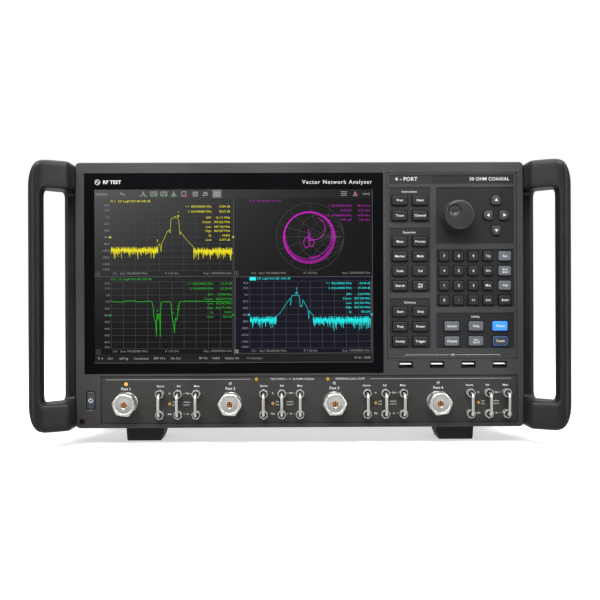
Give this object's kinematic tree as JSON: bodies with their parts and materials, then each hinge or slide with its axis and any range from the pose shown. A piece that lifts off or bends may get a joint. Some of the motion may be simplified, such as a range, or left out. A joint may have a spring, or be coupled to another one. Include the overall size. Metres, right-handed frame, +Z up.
{
  "type": "vector network analyzer",
  "caption": "Benchtop vector network analyzer with a wide touch screen, keypad and rotary knob, threaded test ports with jumper links, side grip handles and fold-out tilt legs.",
  "frame": {"origin": "under the middle of the instrument, on the bench", "axes": "+X to the operator's right, -Y out of the front panel towards the operator, +Z up"},
  "size_m": [0.493, 0.47, 0.2642],
  "materials": {
    "dark_paint": "dark grey powder coat on cast and sheet aluminium",
    "handle_paint": "dark grey satin paint on cast aluminium",
    "knob_paint": "dark grey satin",
    "panel_plastic": "fine matt",
    "key_rubber": "fine matt",
    "grey_key": "fine matt",
    "blue_key": "fine matt",
    "black_glass": "smooth, with a black printed border",
    "screen": "lit display",
    "steel": "turned and passivated",
    "zinc_sheet": "plated sheet",
    "circuit_board": "solder mask",
    "black_plastic": "fine moulded grain",
    "rubber": "matt"
  },
  "bodies": {
    "case": {"ac_inlet": "black_plastic", "chassis_tray": "zinc_sheet", "control_panel": "panel_plastic", "fan_frame": "black_plastic", "front_foot_left": "rubber", "front_foot_right": "rubber", "front_frame": "dark_paint", "ground_jack": "steel", "handle_left": "handle_paint", "handle_right": "handle_paint", "key_board": "circuit_board", "lcd_module": "screen", "loop_links_1": "steel", "loop_links_2": "steel", "loop_links_3": "steel", "loop_links_4": "steel", "main_board": "circuit_board", "port_panel": "panel_plastic", "power_supply": "zinc_sheet", "rear_foot_left": "rubber", "rear_foot_right": "rubber", "rear_io_board": "steel", "rear_panel": "dark_paint", "rf_deck": "zinc_sheet", "test_port_1": "steel", "test_port_2": "steel", "test_port_3": "steel", "test_port_4": "steel", "touch_glass": "black_glass", "usb_board": "steel", "wrap_cover": "dark_paint"},
    "instrument_keys_row_1": {"instrument_keys_row_1": "key_rubber"},
    "instrument_keys_row_2": {"instrument_keys_row_2": "key_rubber"},
    "response_keys_row_1": {"response_keys_row_1": "key_rubber"},
    "response_keys_row_2": {"response_keys_row_2": "key_rubber"},
    "response_keys_row_3": {"response_keys_row_3": "key_rubber"},
    "response_keys_row_4": {"response_keys_row_4": "key_rubber"},
    "stimulus_keys_row_1": {"stimulus_keys_row_1": "key_rubber"},
    "stimulus_keys_row_2": {"stimulus_keys_row_2": "key_rubber"},
    "stimulus_keys_row_3": {"stimulus_keys_row_3": "key_rubber"},
    "number_keys_row_1": {"number_keys_row_1": "key_rubber"},
    "number_keys_row_2": {"number_keys_row_2": "key_rubber"},
    "number_keys_row_3": {"number_keys_row_3": "key_rubber"},
    "number_keys_row_4": {"number_keys_row_4": "key_rubber"},
    "key_system": {"key_system": "grey_key"},
    "key_help": {"key_help": "grey_key"},
    "key_preset": {"key_preset": "blue_key"},
    "key_display": {"key_display": "grey_key"},
    "key_save": {"key_save": "grey_key"},
    "key_touch": {"key_touch": "grey_key"},
    "key_up": {"key_up": "grey_key"},
    "key_down": {"key_down": "grey_key"},
    "key_left": {"key_left": "grey_key"},
    "key_right": {"key_right": "grey_key"},
    "power_button": {"power_button": "grey_key"},
    "encoder_shaft": {"encoder_shaft": "steel"},
    "knob": {"knob": "knob_paint"},
    "tilt_leg_left": {"tilt_leg_left": "black_plastic"},
    "tilt_leg_right": {"tilt_leg_right": "black_plastic"},
    "fan_rotor": {"fan_rotor": "black_plastic"}
  },
  "joints": [
    {"name": "instrument_keys_row_1_press", "type": "slide", "parent": "case", "child": "instrument_keys_row_1", "axis": [0, 1, 0], "range_m": [0, 0.0013], "stiffness_N_per_m": 900, "springref_m": -0.0006},
    {"name": "instrument_keys_row_2_press", "type": "slide", "parent": "case", "child": "instrument_keys_row_2", "axis": [0, 1, 0], "range_m": [0, 0.0013], "stiffness_N_per_m": 900, "springref_m": -0.0006},
    {"name": "response_keys_row_1_press", "type": "slide", "parent": "case", "child": "response_keys_row_1", "axis": [0, 1, 0], "range_m": [0, 0.0013], "stiffness_N_per_m": 900, "springref_m": -0.0006},
    {"name": "response_keys_row_2_press", "type": "slide", "parent": "case", "child": "response_keys_row_2", "axis": [0, 1, 0], "range_m": [0, 0.0013], "stiffness_N_per_m": 900, "springref_m": -0.0006},
    {"name": "response_keys_row_3_press", "type": "slide", "parent": "case", "child": "response_keys_row_3", "axis": [0, 1, 0], "range_m": [0, 0.0013], "stiffness_N_per_m": 900, "springref_m": -0.0006},
    {"name": "response_keys_row_4_press", "type": "slide", "parent": "case", "child": "response_keys_row_4", "axis": [0, 1, 0], "range_m": [0, 0.0013], "stiffness_N_per_m": 900, "springref_m": -0.0006},
    {"name": "stimulus_keys_row_1_press", "type": "slide", "parent": "case", "child": "stimulus_keys_row_1", "axis": [0, 1, 0], "range_m": [0, 0.0013], "stiffness_N_per_m": 900, "springref_m": -0.0006},
    {"name": "stimulus_keys_row_2_press", "type": "slide", "parent": "case", "child": "stimulus_keys_row_2", "axis": [0, 1, 0], "range_m": [0, 0.0013], "stiffness_N_per_m": 900, "springref_m": -0.0006},
    {"name": "stimulus_keys_row_3_press", "type": "slide", "parent": "case", "child": "stimulus_keys_row_3", "axis": [0, 1, 0], "range_m": [0, 0.0013], "stiffness_N_per_m": 900, "springref_m": -0.0006},
    {"name": "number_keys_row_1_press", "type": "slide", "parent": "case", "child": "number_keys_row_1", "axis": [0, 1, 0], "range_m": [0, 0.0013], "stiffness_N_per_m": 900, "springref_m": -0.0006},
    {"name": "number_keys_row_2_press", "type": "slide", "parent": "case", "child": "number_keys_row_2", "axis": [0, 1, 0], "range_m": [0, 0.0013], "stiffness_N_per_m": 900, "springref_m": -0.0006},
    {"name": "number_keys_row_3_press", "type": "slide", "parent": "case", "child": "number_keys_row_3", "axis": [0, 1, 0], "range_m": [0, 0.0013], "stiffness_N_per_m": 900, "springref_m": -0.0006},
    {"name": "number_keys_row_4_press", "type": "slide", "parent": "case", "child": "number_keys_row_4", "axis": [0, 1, 0], "range_m": [0, 0.0013], "stiffness_N_per_m": 900, "springref_m": -0.0006},
    {"name": "key_system_press", "type": "slide", "parent": "case", "child": "key_system", "axis": [0, 1, 0], "range_m": [0, 0.0013], "stiffness_N_per_m": 450, "springref_m": -0.0006},
    {"name": "key_help_press", "type": "slide", "parent": "case", "child": "key_help", "axis": [0, 1, 0], "range_m": [0, 0.0013], "stiffness_N_per_m": 450, "springref_m": -0.0006},
    {"name": "key_preset_press", "type": "slide", "parent": "case", "child": "key_preset", "axis": [0, 1, 0], "range_m": [0, 0.0013], "stiffness_N_per_m": 450, "springref_m": -0.0006},
    {"name": "key_display_press", "type": "slide", "parent": "case", "child": "key_display", "axis": [0, 1, 0], "range_m": [0, 0.0013], "stiffness_N_per_m": 450, "springref_m": -0.0006},
    {"name": "key_save_press", "type": "slide", "parent": "case", "child": "key_save", "axis": [0, 1, 0], "range_m": [0, 0.0013], "stiffness_N_per_m": 450, "springref_m": -0.0006},
    {"name": "key_touch_press", "type": "slide", "parent": "case", "child": "key_touch", "axis": [0, 1, 0], "range_m": [0, 0.0013], "stiffness_N_per_m": 450, "springref_m": -0.0006},
    {"name": "key_up_press", "type": "slide", "parent": "case", "child": "key_up", "axis": [0, 1, 0], "range_m": [0, 0.0013], "stiffness_N_per_m": 450, "springref_m": -0.0006},
    {"name": "key_down_press", "type": "slide", "parent": "case", "child": "key_down", "axis": [0, 1, 0], "range_m": [0, 0.0013], "stiffness_N_per_m": 450, "springref_m": -0.0006},
    {"name": "key_left_press", "type": "slide", "parent": "case", "child": "key_left", "axis": [0, 1, 0], "range_m": [0, 0.0013], "stiffness_N_per_m": 450, "springref_m": -0.0006},
    {"name": "key_right_press", "type": "slide", "parent": "case", "child": "key_right", "axis": [0, 1, 0], "range_m": [0, 0.0013], "stiffness_N_per_m": 450, "springref_m": -0.0006},
    {"name": "power_button_press", "type": "slide", "parent": "case", "child": "power_button", "axis": [0, 1, 0], "range_m": [0, 0.0013], "stiffness_N_per_m": 700, "springref_m": -0.0006},
    {"name": "knob_press", "type": "slide", "parent": "case", "child": "encoder_shaft", "axis": [0, 1, 0], "range_m": [0, 0.0008], "stiffness_N_per_m": 3000, "springref_m": -0.0004},
    {"name": "knob_turn", "type": "hinge", "parent": "encoder_shaft", "child": "knob", "pos_m": [0.1478, -0.215, 0.213], "axis": [0, -1, 0], "continuous": true},
    {"name": "tilt_leg_left_fold", "type": "hinge", "parent": "case", "child": "tilt_leg_left", "pos_m": [-0.1495, -0.1595, 0.006], "axis": [-1, 0, 0], "range_deg": [0, 85]},
    {"name": "tilt_leg_right_fold", "type": "hinge", "parent": "case", "child": "tilt_leg_right", "pos_m": [0.1495, -0.1595, 0.006], "axis": [-1, 0, 0], "range_deg": [0, 85]},
    {"name": "fan_spin", "type": "hinge", "parent": "case", "child": "fan_rotor", "pos_m": [-0.12, 0.189, 0.15], "axis": [0, -1, 0], "continuous": true}
  ]
}
